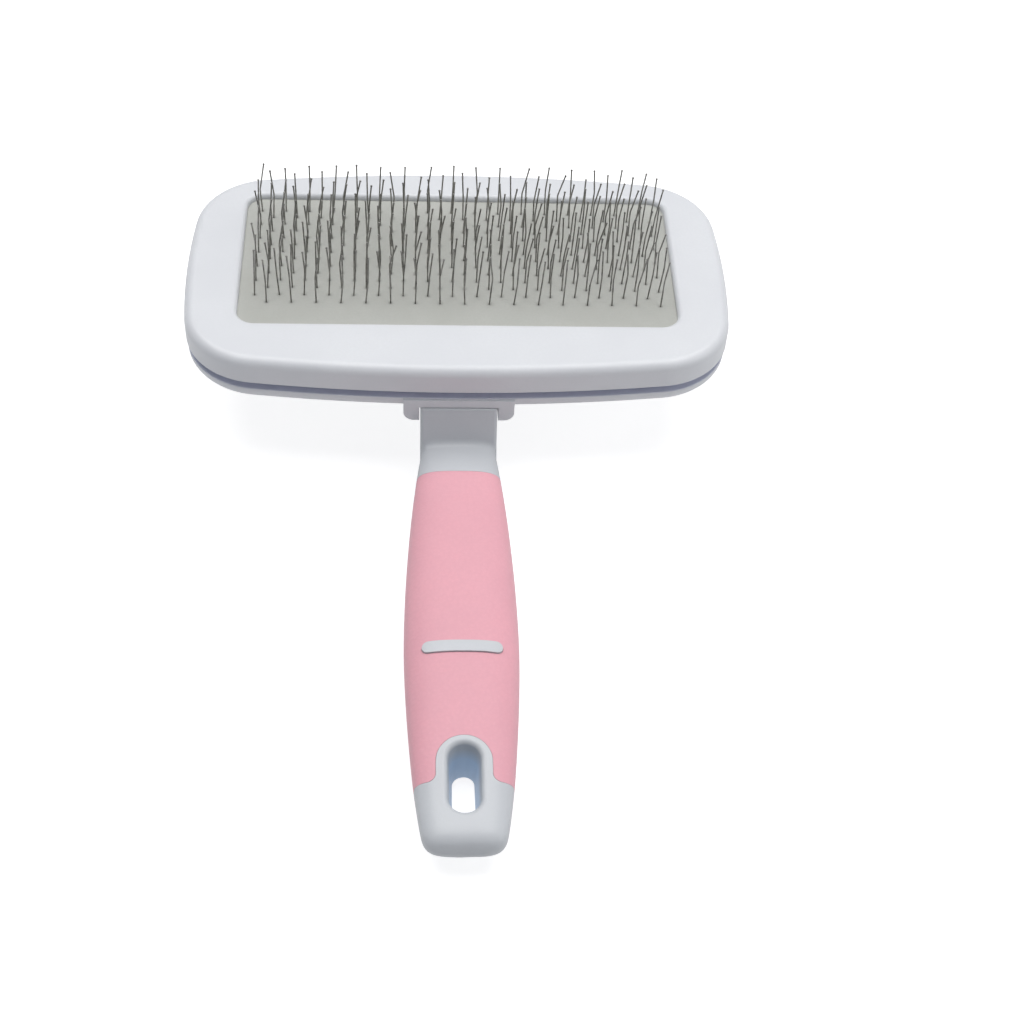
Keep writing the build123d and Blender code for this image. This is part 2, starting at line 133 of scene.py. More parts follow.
# The studio, in metres.
STUDIO_TARGET = Vector((0, -55 * MM, 0))
OVERHEAD_PLACE = Vector((0, 0.25, 1.15))
OVERHEAD_SIZE = (1.5, 1.1)
SIDE_REACH, SIDE_Y, SIDE_HEIGHT = 1.0, -0.3, 0.5
SIDE_SIZE = (0.7, 0.7)
LAMP_COLOUR = (1.0, 0.985, 0.97)
SKY_COLOUR = (0.86, 0.91, 1.0, 1)
WHITE = (1, 1, 1, 1)
FLOOR_HALF_SIZE = 4
FLOOR_DIVISIONS = 4
FLOOR_GAP = 0.02 * MM
SENSOR_WIDTH = 36
CLIP = (0.01, 50)


# ---------------------------------------------------------------- settings


def colour_setting(name, description, default):
    return FloatVectorProperty(
        name=name, description=description, default=default, size=4, min=0, max=1, subtype="COLOR"
    )


def length_setting(name, description, default):
    return FloatProperty(
        name=name, description=description, default=default, min=0, unit="LENGTH", subtype="DISTANCE"
    )


def angle_setting(name, description, degrees):
    return FloatProperty(name=name, description=description, default=math.radians(degrees), subtype="ANGLE")


class BrushColours(bpy.types.PropertyGroup):
    head: colour_setting("Head", "White of the head mouldings", (0.655, 0.67, 0.695, 1))
    handle: colour_setting("Handle", "Pale grey of the handle moulding", (0.53, 0.55, 0.575, 1))
    grip: colour_setting("Grip", "Pink of the soft grip", (0.735, 0.366, 0.424, 1))
    rubber: colour_setting("Rubber", "Grey of the rubber face", (0.425, 0.432, 0.402, 1))
    cotton: colour_setting("Cotton", "Raw cotton of the ply under the rubber", (0.52, 0.47, 0.36, 1))
    foam: colour_setting("Foam", "Cream of the foam bed", (0.68, 0.64, 0.5, 1))
    plate: colour_setting("Plate", "Natural polypropylene of the support plate", (0.6, 0.6, 0.58, 1))
    wire: colour_setting("Wire", "Drawn steel of the pins", (0.3, 0.295, 0.28, 1))
    screw: colour_setting("Screw", "Zinc plate of the screws", (0.5, 0.51, 0.53, 1))
    floor: colour_setting("Floor", "Pale floor", (0.48, 0.48, 0.485, 1))


class CushionSizes(bpy.types.PropertyGroup):
    crown: length_setting("Crown", "Rise of the rubber face at its middle", 0.5 * MM)
    crown_run: length_setting("Crown run", "Distance from the window's edge to the full rise", 13 * MM)
    ripple: length_setting("Ripple", "Slow unevenness of the rubber face", 0.05 * MM)
    pucker: length_setting("Pucker", "Depth of the dimple that each wire pulls", 0.16 * MM)
    pucker_radius: length_setting("Pucker radius", "Radius of that dimple", 0.75 * MM)
    hole_radius: length_setting("Hole radius", "Radius of the hole round each wire", 0.24 * MM)
    cells_across: IntProperty(
        name="Cells across", description="Mesh cells between two wires of a row", default=16, min=4, max=24
    )
    cells_along: IntProperty(
        name="Cells along", description="Mesh cells between two rows", default=7, min=2, max=12
    )


class StudioSettings(bpy.types.PropertyGroup):
    aim: FloatVectorProperty(
        name="Aim", description="Point that the camera looks at", size=3, subtype="XYZ", unit="LENGTH",
        default=(10.8 * MM, -82.0 * MM, 16.5 * MM),
    )
    distance: length_setting("Distance", "Camera to aim point", 384.86 * MM)
    elevation: angle_setting("Elevation", "Camera height as an angle", 48.475)
    turn: angle_setting("Turn", "Camera turn about the upright", -4.805)
    roll: angle_setting("Roll", "Camera roll about its own line", 3.848)
    lens: FloatProperty(name="Lens", description="Focal length", default=61.52, min=10, unit="CAMERA")
    overhead: FloatProperty(
        name="Overhead", description="Power of the large overhead light", default=17.3, min=0, unit="POWER"
    )
    side: FloatProperty(
        name="Side", description="Power of the right side light", default=2.2, min=0, unit="POWER"
    )
    side_share: FloatProperty(
        name="Left share", description="Left side light as a share of the right", default=0.05, min=0, max=1
    )
    floor_glow: FloatProperty(
        name="Floor glow", description="Light that the floor gives off by itself", default=0.32, min=0
    )
    floor_white: FloatProperty(
        name="Floor white", description="How much brighter the floor looks to the camera", default=0.45, min=0
    )
    ambient: FloatProperty(
        name="Ambient", description="Strength of the light from all round", default=0.28, min=0
    )


# ---------------------------------------------------------------- material nodes


class Finish:
    """A Principled material whose pattern nodes are added one at a time."""

    def __init__(self, name, colour, roughness, **sockets):
        self.material = bpy.data.materials.new(name)
        self.material.use_nodes = True
        self.tree = self.material.node_tree
        self.shader = self.tree.nodes["Principled BSDF"]
        self.shader.inputs["Base Color"].default_value = colour
        self.shader.inputs["Roughness"].default_value = roughness
        for socket, value in sockets.items():
            self.shader.inputs[socket.replace("_", " ")].default_value = value
        self.material.diffuse_color = colour
        self.place = self.node("ShaderNodeTexCoord").outputs["Object"]

    def node(self, kind, **settings):
        made = self.tree.nodes.new(kind)
        for key, value in settings.items():
            setattr(made, key, value)
        return made

    def feed(self, socket, source):
        """Links an output to a socket, or sets the socket where source is a plain value."""
        if isinstance(source, bpy.types.NodeSocket):
            self.tree.links.new(source, socket)
        else:
            socket.default_value = source

    def stretched(self, scale, turn=(0, 0, 0)):
        """Object coordinates, scaled by axis."""
        mapping = self.node("ShaderNodeMapping")
        self.feed(mapping.inputs["Vector"], self.place)
        mapping.inputs["Scale"].default_value = scale
        mapping.inputs["Rotation"].default_value = turn
        return mapping.outputs["Vector"]

    def clouds(self, scale, detail=3, roughness=0.55, place=None, distortion=0):
        texture = self.node("ShaderNodeTexNoise")
        self.feed(texture.inputs["Vector"], place or self.place)
        texture.inputs["Scale"].default_value = scale
        texture.inputs["Detail"].default_value = detail
        texture.inputs["Roughness"].default_value = roughness
        texture.inputs["Distortion"].default_value = distortion
        return texture.outputs["Fac"]

    def cells(self, scale, feature="F1", place=None):
        texture = self.node("ShaderNodeTexVoronoi", feature=feature)
        self.feed(texture.inputs["Vector"], place or self.place)
        texture.inputs["Scale"].default_value = scale
        return texture.outputs["Distance"]

    def bands(self, scale, direction, place=None):
        texture = self.node("ShaderNodeTexWave", bands_direction=direction)
        self.feed(texture.inputs["Vector"], place or self.place)
        texture.inputs["Scale"].default_value = scale
        return texture.outputs["Fac"]

    def spread(self, source, low, high, to_low=0.0, to_high=1.0):
        """A value from low to high, carried to the range to_low to to_high."""
        carried = self.node("ShaderNodeMapRange", clamp=True)
        self.feed(carried.inputs["Value"], source)
        for socket, value in zip(("From Min", "From Max", "To Min", "To Max"), (low, high, to_low, to_high)):
            carried.inputs[socket].default_value = value
        return carried.outputs["Result"]

    def maths(self, operation, first, second=0.0):
        made = self.node("ShaderNodeMath", operation=operation)
        self.feed(made.inputs[0], first)
        self.feed(made.inputs[1], second)
        return made.outputs["Value"]

    def shade(self, factor, colour_a, colour_b, blend="MIX"):
        mix = self.node("ShaderNodeMix", data_type="RGBA", blend_type=blend)
        self.feed(mix.inputs["Factor"], factor)
        self.feed(mix.inputs[6], colour_a)
        self.feed(mix.inputs[7], colour_b)
        return mix.outputs[2]

    def attribute(self, name):
        return self.node("ShaderNodeAttribute", attribute_name=name).outputs["Fac"]

    def colour(self, source):
        self.feed(self.shader.inputs["Base Color"], source)

    def roughness(self, source):
        self.feed(self.shader.inputs["Roughness"], source)

    def relief(self, *layers):
        """Bump layers, each (height, depth in metres), added from the coarsest to the finest."""
        normal = None
        for height, depth in layers:
            bump = self.node("ShaderNodeBump")
            self.feed(bump.inputs["Height"], height)
            bump.inputs["Distance"].default_value = depth
            bump.inputs["Strength"].default_value = 1.0
            if normal is not None:
                self.feed(bump.inputs["Normal"], normal)
            normal = bump.outputs["Normal"]
        self.feed(self.shader.inputs["Normal"], normal)


def tinted(colour, factor, shift=(0, 0, 0)):
    """A colour made lighter or darker, and moved a little in hue."""
    return tuple(min(1, max(0, c * factor + s)) for c, s in zip(colour[:3], shift)) + (1,)


def moulded_plastic(name, colour, roughness, painted_light_mask=None, painted_light_tint=(1, 1, 1)):
    """Satin injection-moulded plastic: a fine spark-eroded grain, faint cloudiness and light handling scuffs.

    The mask function gives where painted shade in a groove or painted light in a slot shows, from 0 to 1.
    The tint is that painted colour as a share of the colour, by channel.
    """
    finish = Finish(name, colour, roughness, Specular_IOR_Level=0.42, Coat_Weight=0.06, Coat_Roughness=0.25)
    cloud = finish.clouds(55, detail=2)
    fleck = finish.clouds(1500, detail=2)
    dull, bright = tinted(colour, 0.975, (0, 0, 0.004)), tinted(colour, 1.015)
    tone = finish.shade(finish.spread(cloud, 0.35, 0.65), dull, bright)
    tone = finish.shade(finish.spread(fleck, 0.3, 0.7, 0.0, 0.5), tone, tinted(colour, 0.965))
    # Painted shade in the groove, or painted bluish light in the slot, over the plastic's colour.
    if painted_light_mask:
        deep = tuple(min(1, channel * share) for channel, share in zip(colour, painted_light_tint)) + (1,)
        tone = finish.shade(painted_light_mask(finish), tone, deep)
    finish.colour(tone)
    scuff = finish.clouds(1, detail=4, roughness=0.7, place=finish.stretched((60, 900, 200), (0, 0, 0.6)))
    scuff = finish.spread(scuff, 0.56, 0.72)
    handled = finish.spread(finish.clouds(32, detail=2), 0.4, 0.62)
    worn = finish.maths("MULTIPLY", scuff, handled)
    finish.roughness(finish.spread(worn, 0, 1, roughness - 0.05, roughness + 0.13))
    finish.relief((finish.clouds(160, detail=1), 0.03 * MM), (finish.clouds(2600, detail=2), 0.012 * MM))
    return finish.material


def painted_groove_shade(finish):
    """Where painted bluish shade goes: the groove between the frame and the shell, down to the top of the
    shell's lip.
    """
    parts = finish.node("ShaderNodeSeparateXYZ")
    finish.feed(parts.inputs["Vector"], finish.place)
    over = finish.spread(parts.outputs["Z"], LIP_TOP - LIP_FADE, LIP_TOP)
    under = finish.spread(parts.outputs["Z"], HEM + HEM_FADE[0], HEM + HEM_FADE[1], 1.0, 0.0)
    return finish.maths("MULTIPLY", over, under)


def painted_slot_light(finish):
    """Where painted bluish light goes: the inside of the hanging slot, below its rounded rim."""
    parts = finish.node("ShaderNodeSeparateXYZ")
    finish.feed(parts.inputs["Vector"], finish.place)
    along = finish.maths("ABSOLUTE", finish.maths("SUBTRACT", parts.outputs["Y"], SLOT_Y))
    past = finish.maths("MAXIMUM", finish.maths("SUBTRACT", along, SLOT_STRAIGHT / 2), 0.0)
    across = finish.maths("MULTIPLY", parts.outputs["X"], parts.outputs["X"])
    radius = finish.maths("SQRT", finish.maths("ADD", finish.maths("MULTIPLY", past, past), across))
    deep = finish.spread(parts.outputs["Z"], THROAT_FULL_Z, THROAT_START_Z, 1.0, 0.0)
    inside = finish.spread(radius, SLOT_RADIUS, SLOT_RADIUS + SLOT_FADE, 1.0, 0.0)
    return finish.maths("MULTIPLY", inside, deep)


def soft_grip_rubber(name, colour):
    """Matte thermoplastic rubber: an even fine pebble, a soft bloom and slightly greyer worn patches."""
    finish = Finish(
        name, colour, 0.56, Specular_IOR_Level=0.38, Sheen_Weight=0.18, Sheen_Roughness=0.45,
        Sheen_Tint=(1.0, 0.9, 0.93, 1), Subsurface_Weight=0.06,
    )
    finish.shader.inputs["Subsurface Radius"].default_value = (1.0, 0.45, 0.5)
    finish.shader.inputs["Subsurface Scale"].default_value = 0.8 * MM
    bloom = finish.clouds(38, detail=3)
    pebble = finish.cells(1150)
    dust = finish.clouds(2100, detail=3, roughness=0.65)
    dull, bright = tinted(colour, 0.965, (0, 0.004, 0.006)), tinted(colour, 1.025)
    tone = finish.shade(finish.spread(bloom, 0.34, 0.66), dull, bright)
    tone = finish.shade(finish.spread(pebble, 0.1, 0.75, 0.0, 0.28), tone, tinted(colour, 0.9))
    dusty = tinted(colour, 1.03, (0.02, 0.03, 0.03))
    tone = finish.shade(finish.spread(dust, 0.56, 0.74, 0.0, 0.35), tone, dusty)
    finish.colour(tone)
    finish.roughness(finish.spread(bloom, 0.3, 0.7, 0.51, 0.62))
    finish.relief((finish.clouds(120, detail=1), 0.04 * MM), (pebble, 0.03 * MM), (dust, 0.02 * MM))
    return finish.material


def rubber_sheet(name, colour):
    """Matt sheet rubber: a fine calendered tooth, dusty bloom, and a ring of painted shade round each wire.
    """
    finish = Finish(name, colour, 0.74, Specular_IOR_Level=0.3, Sheen_Weight=0.06, Sheen_Roughness=0.5)
    bloom = finish.clouds(70, detail=4, roughness=0.6)
    tooth = finish.clouds(1700, detail=3, roughness=0.6)
    nap = finish.clouds(1, detail=2, place=finish.stretched((700, 2600, 700)))
    wire_shade = finish.attribute("wire_shade_ring")
    dull, bright = tinted(colour, 0.955), tinted(colour, 1.04, (0, 0, 0.004))
    tone = finish.shade(finish.spread(bloom, 0.32, 0.68), dull, bright)
    tone = finish.shade(finish.spread(tooth, 0.35, 0.7, 0.0, 0.4), tone, tinted(colour, 0.9))
    # Painted shade round each wire, where it goes into the rubber.
    tone = finish.shade(finish.maths("MULTIPLY", wire_shade, 0.6), tone, tinted(colour, 0.5))
    finish.colour(tone)
    finish.roughness(finish.spread(bloom, 0.3, 0.7, 0.68, 0.8))
    finish.relief((bloom, 0.05 * MM), (nap, 0.02 * MM), (tooth, 0.03 * MM))
    return finish.material


def cotton_weave(name, colour):
    """Plain-woven cotton: two sets of yarns that pass over each other, with slubs, and painted shade between
    the yarns.
    """
    finish = Finish(name, colour, 0.92, Specular_IOR_Level=0.2, Sheen_Weight=0.25, Sheen_Roughness=0.4)
    yarns = 310
    warp = finish.bands(yarns, "X")
    weft = finish.bands(yarns, "Y")
    over = finish.maths("MULTIPLY", finish.bands(yarns / 2, "X"), finish.bands(yarns / 2, "Y"))
    slub = finish.clouds(1, detail=3, place=finish.stretched((240, 1400, 500)))
    height = finish.maths("ADD", finish.maths("MAXIMUM", warp, weft), over)
    # Painted shade where the weave is low, between the yarns.
    tone = finish.shade(finish.spread(height, 0.3, 1.6), tinted(colour, 0.66), tinted(colour, 1.06))
    tone = finish.shade(finish.spread(slub, 0.4, 0.7, 0.0, 0.5), tone, tinted(colour, 1.16))
    finish.colour(tone)
    finish.relief((height, 0.09 * MM), (slub, 0.03 * MM))
    return finish.material


def open_foam(name, colour):
    """Open-cell foam: round pores with painted shade on their floors."""
    finish = Finish(name, colour, 0.9, Specular_IOR_Level=0.2, Subsurface_Weight=0.1)
    finish.shader.inputs["Subsurface Scale"].default_value = 0.6 * MM
    pores = finish.cells(1300)
    small = finish.cells(2900)
    # Painted shade in the pores, darkest at their floors.
    tone = finish.shade(finish.spread(pores, 0.05, 0.6), tinted(colour, 0.5), tinted(colour, 1.05))
    tone = finish.shade(finish.spread(small, 0.0, 0.4, 0.35, 0.0), tone, tinted(colour, 0.6))
    finish.colour(tone)
    finish.relief((pores, 0.2 * MM), (small, 0.08 * MM))
    return finish.material


def drawn_wire(name, colour):
    """Hardened drawn wire: fine lines along its length and a grey oxide that comes and goes."""
    finish = Finish(name, colour, 0.34, Metallic=1.0, Anisotropic=0.3)
    lines = finish.clouds(1, detail=3, roughness=0.6, place=finish.stretched((14000, 14000, 420)))
    oxide = finish.clouds(420, detail=3)
    tone = finish.shade(finish.spread(oxide, 0.35, 0.65), tinted(colour, 0.62), tinted(colour, 1.3))
    tone = finish.shade(finish.spread(lines, 0.45, 0.7, 0.0, 0.5), tone, tinted(colour, 0.6))
    finish.colour(tone)
    finish.roughness(finish.spread(oxide, 0.3, 0.7, 0.26, 0.46))
    finish.relief((lines, 0.004 * MM))
    return finish.material


def plated_steel(name, colour):
    """Zinc-plated steel: turned lines and a slightly yellow passivation."""
    finish = Finish(name, colour, 0.36, Metallic=1.0)
    spangle = finish.cells(900)
    lines = finish.clouds(1, detail=2, place=finish.stretched((500, 500, 6000)))
    dull, bright = tinted(colour, 0.9, (0.02, 0.015, 0)), tinted(colour, 1.12)
    tone = finish.shade(finish.spread(spangle, 0.1, 0.7), dull, bright)
    finish.colour(tone)
    finish.roughness(finish.spread(lines, 0.3, 0.7, 0.28, 0.46))
    finish.relief((lines, 0.006 * MM))
    return finish.material


def bare_polypropylene(name, colour):
    """Unpainted polypropylene: slightly waxy and cloudy, with flow lines away from the gate."""
    finish = Finish(name, colour, 0.48, Specular_IOR_Level=0.4, Subsurface_Weight=0.12)
    finish.shader.inputs["Subsurface Scale"].default_value = 1.2 * MM
    flow = finish.clouds(1, detail=3, place=finish.stretched((30, 140, 60)), distortion=1.2)
    grain = finish.clouds(2200, detail=2)
    tone = finish.shade(finish.spread(flow, 0.35, 0.65), tinted(colour, 0.93), tinted(colour, 1.05))
    finish.colour(tone)
    finish.roughness(finish.spread(flow, 0.3, 0.7, 0.43, 0.55))
    finish.relief((flow, 0.05 * MM), (grain, 0.01 * MM))
    return finish.material


def give_finish(node, material):
    """Puts a material on a carried-over CAD part."""
    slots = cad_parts[node].material_slots
    for slot in slots:
        slot.material = material
    if not slots:
        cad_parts[node].data.materials.append(material)


# ---------------------------------------------------------------- slabs pierced by the wires


def wire_feet():
    """Centre of each wire's head, row by row, as lists of flat points."""
    rows = []
    for name in PIN_ROWS:
        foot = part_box(name)[0].z
        near = [v.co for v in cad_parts[name].data.vertices if v.co.z < foot + HEAD_SLICE]
        near.sort(key=lambda co: co.x)
        groups = [[near[0]]]
        for co in near[1:]:
            if co.x - groups[-1][-1].x > WIRE_SPACING_LEAST:
                groups.append([])
            groups[-1].append(co)
        rows.append([middle(group) for group in groups])
    return rows


def middle(points):
    """Middle of the box round some points, seen from above."""
    xs = [p.x for p in points]
    ys = [p.y for p in points]
    return Vector(((min(xs) + max(xs)) / 2, (min(ys) + max(ys)) / 2))


def outline_of(node):
    """The outline of a convex CAD slab seen from above, as flat points in order."""
    bm = bmesh.new()
    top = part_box(node)[1].z
    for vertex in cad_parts[node].data.vertices:
        if vertex.co.z > top - TOP_SLICE:
            bm.verts.new((vertex.co.x, vertex.co.y, 0))
    bmesh.ops.remove_doubles(bm, verts=bm.verts, dist=WELD)
    peak = bm.verts.new((0, 0, HULL_PEAK))
    hull = bmesh.ops.convex_hull(bm, input=bm.verts)
    rim = {v for f in hull["geom"] if isinstance(f, bmesh.types.BMFace) and peak in f.verts for v in f.verts}
    rim.discard(peak)
    points = [p.copy() for p in sorted((v.co.xy for v in rim), key=lambda p: math.atan2(p.y, p.x))]
    bm.free()
    return points


def reach(outline, direction):
    """How far the outline is from the middle along a flat direction."""
    for a, b in zip(outline, outline[1:] + outline[:1]):
        side = b - a
        crossing = direction.cross(side)
        if abs(crossing) < TINY:
            continue
        along = a.cross(side) / crossing
        share = a.cross(direction) / crossing
        if along > 0 and -SHARE_SLACK <= share <= 1 + SHARE_SLACK:
            return along
    raise RuntimeError("the outline isn't closed round the middle")


def fine_grid(bm, rows, low, high, across, along):
    """A flat grid between two corners with a vertex at every wire. Returns its cell size and first corner."""
    first = rows[0][0]
    step = Vector(((rows[0][1].x - first.x) / across, (rows[1][0].y - first.y) / along))
    start = Vector(
        (first.x - math.floor((first.x - low.x) / step.x) * step.x,
         first.y - math.floor((first.y - low.y) / step.y) * step.y)
    )
    count = (math.floor((high.x - start.x) / step.x), math.floor((high.y - start.y) / step.y))
    half = Vector((count[0] * step.x / 2, count[1] * step.y / 2))
    centre = start + half
    bmesh.ops.create_grid(
        bm, x_segments=count[0], y_segments=count[1], size=1,
        matrix=Matrix.Translation((centre.x, centre.y, 0)) @ Matrix.Diagonal((half.x, half.y, 1, 1)),
    )
    return start, step


def pierce(bm, rows, start, step, radius):
    """Opens a round hole in the flat grid at every wire."""

    def cell(point):
        return round((point.x - start.x) / step.x), round((point.y - start.y) / step.y)

    index = {cell(v.co): v for v in bm.verts}
    centres = [index[cell(foot)] for row in rows for foot in row]
    places = [v.co.copy() for v in centres]
    bmesh.ops.dissolve_verts(bm, verts=centres)
    tree = kdtree.KDTree(len(places))
    for number, place in enumerate(places):
        tree.insert(place, number)
    tree.balance()
    mouths = [f for f in bm.faces if len(f.verts) == HOLE_SIDES]
    for mouth in mouths:
        place = tree.find(mouth.calc_center_median())[0]
        for v in mouth.verts:
            away = v.co - place
            turn = math.atan2(round(away.y / step.y), round(away.x / step.x))
            v.co = place + Vector((math.cos(turn), math.sin(turn), 0)) * radius
    bmesh.ops.delete(bm, geom=mouths, context="FACES_ONLY")


def open_edges(bm):
    return [e for e in bm.edges if e.is_boundary]


def vertices_in(geometry):
    return [g for g in geometry if isinstance(g, bmesh.types.BMVert)]


def pierced_slab(name, node, low, high, rows, cells, hole, height):
    """A closed slab in a CAD slab's place, with a finely divided top that height() shapes.

    hole is the radius of the hole that runs right through at each wire, or None.
    height(x, y) gives the rise over the CAD top.
    """
    floor, top = (corner.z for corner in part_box(node))
    outline = outline_of(node)
    bm = bmesh.new()
    start, step = fine_grid(bm, rows, low, high, *cells)
    rim = open_edges(bm)
    if hole:
        pierce(bm, rows, start, step, hole)
    for v in bm.verts:
        v.co.z += top + height(v.co.x, v.co.y)
    flange = bmesh.ops.extrude_edge_only(bm, edges=rim)["geom"]
    for v in vertices_in(flange):
        direction = v.co.xy.normalized()
        v.co.xy = direction * reach(outline, direction)
        v.co.z = top
    skirt = bmesh.ops.extrude_edge_only(bm, edges=open_edges(bm))["geom"]
    for v in vertices_in(skirt):
        v.co.z = floor
    bmesh.ops.triangle_fill(bm, use_beauty=True, edges=open_edges(bm), normal=(0, 0, -1))
    bmesh.ops.recalc_face_normals(bm, faces=bm.faces)
    if bm.calc_volume(signed=True) < 0:
        bmesh.ops.reverse_faces(bm, faces=bm.faces)
    mark_shade_rings(bm, rows)
    return finished_piece(name, bm)


def mark_shade_rings(bm, rows):
    """Stores on each vertex how near it is to a wire, from 1 at the wire to 0, as the mask of the painted
    shade round each wire.
    """
    layer = bm.verts.layers.float.new("wire_shade_ring")
    tree = foot_tree(rows)
    for v in bm.verts:
        distance = tree.find((v.co.x, v.co.y, 0))[2]
        v[layer] = math.exp(-((distance / SHADE_RING_RADIUS) ** 2))


def foot_tree(rows):
    """A search tree that finds the wire nearest to a flat point."""
    feet = [foot for row in rows for foot in row]
    tree = kdtree.KDTree(len(feet))
    for number, foot in enumerate(feet):
        tree.insert((foot.x, foot.y, 0), number)
    tree.balance()
    return tree


def finished_piece(name, bm):
    """Turns a bmesh into a smooth-shaded object of the scene."""
    mesh = bpy.data.meshes.new(name)
    bm.to_mesh(mesh)
    bm.free()
    mesh.shade_smooth()
    mesh.set_sharp_from_angle(angle=SHARP_ANGLE)
    piece = bpy.data.objects.new(name, mesh)
    bpy.context.scene.collection.objects.link(piece)
    return piece


def inside_window(x, y):
    """Distance from a point to the edge of the front frame's window, 0 outside it."""
    centre_y = (WINDOW_LOW_Y + WINDOW_HIGH_Y) / 2
    half_y = (WINDOW_HIGH_Y - WINDOW_LOW_Y) / 2
    over_x = abs(x) - (WINDOW_HALF_WIDTH - WINDOW_CORNER)
    over_y = abs(y - centre_y) - (half_y - WINDOW_CORNER)
    outside = math.hypot(max(over_x, 0), max(over_y, 0)) + min(max(over_x, over_y), 0) - WINDOW_CORNER
    return max(-outside, 0)


# ---------------------------------------------------------------- operators


class BRUSH_OT_head(bpy.types.Operator):
    """Give the front frame and the back shell their satin white plastic"""

    bl_idname = "brush.head"
    bl_label = "Head Mouldings"

    def execute(self, context):
        colours = context.scene.brush_colours
        give_finish(FRAME, moulded_plastic("satin_white_plastic", tuple(colours.head), 0.4))
        # The shell's colour has painted bluish shade in the groove above its lip.
        shell = moulded_plastic("satin_shell_plastic", tuple(colours.head), 0.4, painted_groove_shade, GROOVE_PAINTED_SHADE)
        give_finish(SHELL, shell)
        return {"FINISHED"}


class BRUSH_OT_handle(bpy.types.Operator):
    """Give the handle moulding its pale grey plastic"""

    bl_idname = "brush.handle"
    bl_label = "Handle Moulding"

    def execute(self, context):
        colour = tuple(context.scene.brush_colours.handle)
        # The handle's colour has painted bluish light on the inside of the hanging slot.
        give_finish(HANDLE, moulded_plastic("pale_handle_plastic", colour, 0.42, painted_slot_light, THROAT_PAINTED_LIGHT))
        return {"FINISHED"}


class BRUSH_OT_grip(bpy.types.Operator):
    """Give the overmoulded grip its soft pink rubber"""

    bl_idname = "brush.grip"
    bl_label = "Soft Grip"

    def execute(self, context):
        give_finish(GRIP, soft_grip_rubber("pink_soft_grip", tuple(context.scene.brush_colours.grip)))
        return {"FINISHED"}


class BRUSH_OT_wires(bpy.types.Operator):
    """Give every row of pins its drawn steel"""

    bl_idname = "brush.wires"
    bl_label = "Wire Pins"

    def execute(self, context):
        material = drawn_wire("drawn_spring_wire", tuple(context.scene.brush_colours.wire))
        for node in PIN_ROWS:
            give_finish(node, material)
        return {"FINISHED"}


class BRUSH_OT_fastenings(bpy.types.Operator):
    """Give the support plate and the screws their finishes"""

    bl_idname = "brush.fastenings"
    bl_label = "Plate and Screws"

    def execute(self, context):
        colours = context.scene.brush_colours
        give_finish(PLATE, bare_polypropylene("natural_polypropylene", tuple(colours.plate)))
        material = plated_steel("zinc_plated_steel", tuple(colours.screw))
        for node in SCREWS:
            give_finish(node, material)
        return {"FINISHED"}


class BRUSH_OT_rubber_face(bpy.types.Operator):
    """Make the rubber face: crowned in the window, dimpled and pierced at every wire"""

    bl_idname = "brush.rubber_face"
    bl_label = "Rubber Face"

    def execute(self, context):
        sizes = context.scene.brush_cushion
        rows = wire_feet()
        tree = foot_tree(rows)

        def height(x, y):
            inside = inside_window(x, y)
            share = min(inside / sizes.crown_run, 1)
            crown = sizes.crown * (1 - (1 - share) ** 2)
            distance = tree.find((x, y, 0))[2]
            pucker = sizes.pucker * math.exp(-((distance / sizes.pucker_radius) ** 2))
            slow = noise.noise(Vector((x, y, 0)) * RUBBER_SWELL) * sizes.ripple
            return crown + min(inside / EDGE_CALM, 1) * (slow - pucker)

        piece = pierced_slab(
            "rubber_face", "cushion_pad",
            Vector((-WINDOW_HALF_WIDTH - WINDOW_COVER, WINDOW_LOW_Y - WINDOW_COVER)),
            Vector((WINDOW_HALF_WIDTH + WINDOW_COVER, WINDOW_HIGH_Y + WINDOW_COVER)),
            rows, (sizes.cells_across, sizes.cells_along), sizes.hole_radius, height,
        )
        colour = tuple(context.scene.brush_colours.rubber)
        piece.data.materials.append(rubber_sheet("matt_sheet_rubber", colour))
        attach(piece, "brush")
        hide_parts("cushion_pad")
        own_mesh(piece)
        return {"FINISHED"}


class BRUSH_OT_cotton_ply(bpy.types.Operator):
    """Make the woven cotton ply that carries the wires' heads under the rubber"""

    bl_idname = "brush.cotton_ply"
    bl_label = "Cotton Ply"

    def execute(self, context):
        low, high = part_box("backing_cloth")
        piece = pierced_slab(
            "cotton_ply", "backing_cloth", low.xy + HIDDEN_SLAB_EDGE, high.xy - HIDDEN_SLAB_EDGE,
            wire_feet(), HIDDEN_SLAB_CELLS, PLY_HOLE_RADIUS, lambda x, y: -PLY_SETBACK,
        )
        piece.data.materials.append(cotton_weave("woven_cotton", tuple(context.scene.brush_colours.cotton)))
        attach(piece, "pin_bed")
        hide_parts("backing_cloth")
        return {"FINISHED"}


class BRUSH_OT_foam_cushion(bpy.types.Operator):
    """Make the foam bed, with a dent under the head of every wire"""

    bl_idname = "brush.foam_cushion"
    bl_label = "Foam Cushion"

    def execute(self, context):
        low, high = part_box("foam_bed")
        rows = wire_feet()
        tree = foot_tree(rows)

        def height(x, y):
            dent = FOAM_DENT * math.exp(-((tree.find((x, y, 0))[2] / FOAM_DENT_RADIUS) ** 2))
            return noise.noise(Vector((x, y, 0)) * FOAM_SWELL) * FOAM_UNEVENNESS - FOAM_UNEVENNESS - dent

        piece = pierced_slab(
            "foam_cushion", "foam_bed", low.xy + HIDDEN_SLAB_EDGE, high.xy - HIDDEN_SLAB_EDGE,
            rows, HIDDEN_SLAB_CELLS, None, height,
        )
        piece.data.materials.append(open_foam("open_cell_foam", tuple(context.scene.brush_colours.foam)))
        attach(piece, "brush")
        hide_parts("foam_bed")
        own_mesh(piece)
        return {"FINISHED"}


